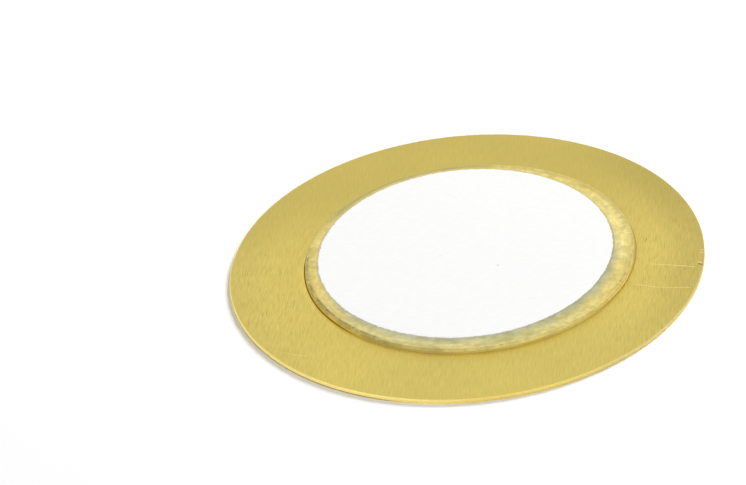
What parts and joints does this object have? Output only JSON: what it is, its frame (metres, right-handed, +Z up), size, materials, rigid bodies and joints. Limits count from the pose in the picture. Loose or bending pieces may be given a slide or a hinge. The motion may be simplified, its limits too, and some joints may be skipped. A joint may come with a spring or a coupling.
{
  "type": "piezo disc",
  "caption": "Bare piezo disc: thin round brass plate with a bonded piezoelectric ceramic disc and a silver electrode on its face.",
  "frame": {"origin": "centre of the brass plate's underside, the face that the disc lies on", "axes": "+Z up through the stack, from the plate to the upper electrode; +X and +Y lie in the plate, with +Y pointing away from the viewer and +X to the viewer's right"},
  "size_m": [0.02, 0.02, 0.0004],
  "materials": {
    "brass": "satin",
    "adhesive": "gloss",
    "lower_silver": "matte",
    "piezo_ceramic": "satin",
    "upper_silver": "matte"
  },
  "bodies": {
    "root": {"brass_plate": "brass", "bond_layer": "adhesive", "lower_electrode": "lower_silver", "ceramic_disc": "piezo_ceramic", "upper_electrode": "upper_silver"}
  },
  "joints": []
}
